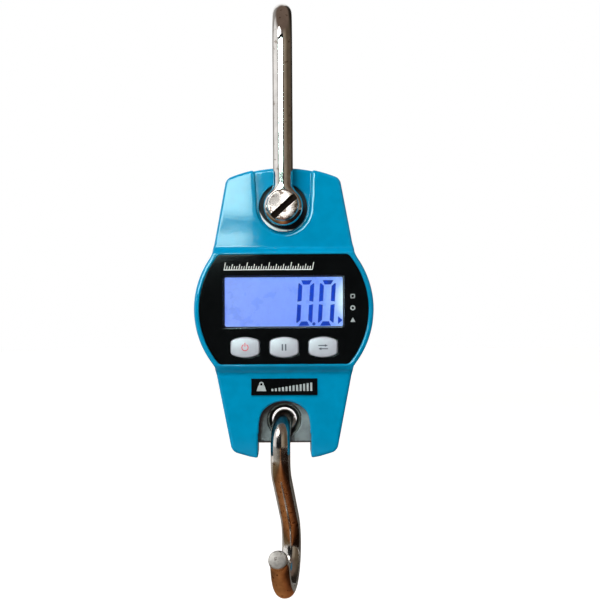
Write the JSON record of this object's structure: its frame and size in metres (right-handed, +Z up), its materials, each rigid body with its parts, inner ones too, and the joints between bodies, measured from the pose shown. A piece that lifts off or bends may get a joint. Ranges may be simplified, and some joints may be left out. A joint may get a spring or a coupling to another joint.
{
  "type": "crane scale",
  "caption": "Hanging crane scale: steel shackle on a bolt, round-bellied display case swinging on a load cell, and a loose S-hook below for the load.",
  "frame": {"origin": "seat inside the top of the shackle's bow, on its centreline: the point that rests on whatever the scale hangs from", "axes": "+Z up along the hanging line, the display faces -Y, +X to the right of someone reading it; the shackle's bolt runs along Y"},
  "size_m": [0.0718, 0.042, 0.2442],
  "materials": {
    "shackle": "polished",
    "shackle_bolt": "satin",
    "eye_spacers": "turned",
    "front_case": "glossy enamel, fine orange peel",
    "rear_case": "glossy enamel, fine orange peel",
    "case_gasket": "matt",
    "case_screws": "satin",
    "panel_overlay": "gloss black",
    "display_window": "clear",
    "lcd_glass": "backlit, violet-blue",
    "lcd_backlight": "diffusing",
    "lcd_frame": "matt",
    "zebra_strip": "matt",
    "main_board": "solder mask",
    "controller_chip": "moulded",
    "switch_bodies": "moulded",
    "board_screws": "zinc",
    "load_cell": "satin, blasted",
    "strain_gauges": "foil on film",
    "gauge_coating": "silicone",
    "sensor_lead": "sleeved",
    "cell_screws": "zinc",
    "capacity_plate": "gloss black",
    "battery_tray": "moulded",
    "battery_1": "sleeve",
    "battery_2": "sleeve",
    "battery_3": "sleeve",
    "battery_springs": "nickel",
    "battery_plates": "nickel",
    "battery_leads": "insulated",
    "hook_bush": "turned, hardened",
    "lower_hook": "polished",
    "power_button": "satin",
    "power_plunger": "moulded",
    "hold_button": "satin",
    "hold_plunger": "moulded",
    "unit_button": "satin",
    "unit_plunger": "moulded",
    "battery_cover": "glossy enamel",
    "cover_screws": "zinc"
  },
  "bodies": {
    "shackle": {"shackle": "shackle", "shackle_bolt": "shackle_bolt", "eye_spacers": "eye_spacers"},
    "case": {"front_case": "front_case", "rear_case": "rear_case", "case_gasket": "case_gasket", "case_screws": "case_screws", "panel_overlay": "panel_overlay", "display_window": "display_window", "lcd_glass": "lcd_glass", "lcd_backlight": "lcd_backlight", "lcd_frame": "lcd_frame", "zebra_strip": "zebra_strip", "main_board": "main_board", "controller_chip": "controller_chip", "switch_bodies": "switch_bodies", "board_screws": "board_screws", "load_cell": "load_cell", "strain_gauges": "strain_gauges", "gauge_coating": "gauge_coating", "sensor_lead": "sensor_lead", "cell_screws": "cell_screws", "capacity_plate": "capacity_plate", "battery_tray": "battery_tray", "battery_1": "battery_1", "battery_2": "battery_2", "battery_3": "battery_3", "battery_springs": "battery_springs", "battery_plates": "battery_plates", "battery_leads": "battery_leads"},
    "bush": {"hook_bush": "hook_bush"},
    "hook": {"lower_hook": "lower_hook"},
    "power_key": {"power_button": "power_button", "power_plunger": "power_plunger"},
    "hold_key": {"hold_button": "hold_button", "hold_plunger": "hold_plunger"},
    "unit_key": {"unit_button": "unit_button", "unit_plunger": "unit_plunger"},
    "cover": {"battery_cover": "battery_cover", "cover_screws": "cover_screws"}
  },
  "joints": [
    {"name": "case_swing", "type": "hinge", "parent": "shackle", "child": "case", "pos_m": [0, 0, -0.0759], "axis": [0, 1, 0], "range_deg": [-25, 25]},
    {"name": "bush_roll", "type": "hinge", "parent": "case", "child": "bush", "pos_m": [0, 0, -0.1624], "axis": [0, 1, 0], "range_deg": [-15, 15]},
    {"name": "hook_swing", "type": "hinge", "parent": "bush", "child": "hook", "pos_m": [0, 0, -0.1732], "axis": [0.988, -0.1547, 0], "range_deg": [-30, 30]},
    {"name": "power_press", "type": "slide", "parent": "case", "child": "power_key", "axis": [0, 1, 0], "range_m": [0, 0.0005], "stiffness_N_per_m": 900, "springref_m": -0.0003},
    {"name": "hold_press", "type": "slide", "parent": "case", "child": "hold_key", "axis": [0, 1, 0], "range_m": [0, 0.0005], "stiffness_N_per_m": 900, "springref_m": -0.0003},
    {"name": "unit_press", "type": "slide", "parent": "case", "child": "unit_key", "axis": [0, 1, 0], "range_m": [0, 0.0005], "stiffness_N_per_m": 900, "springref_m": -0.0003},
    {"name": "cover_off", "type": "slide", "parent": "case", "child": "cover", "axis": [0, 1, 0], "range_m": [0, 0.025]}
  ]
}
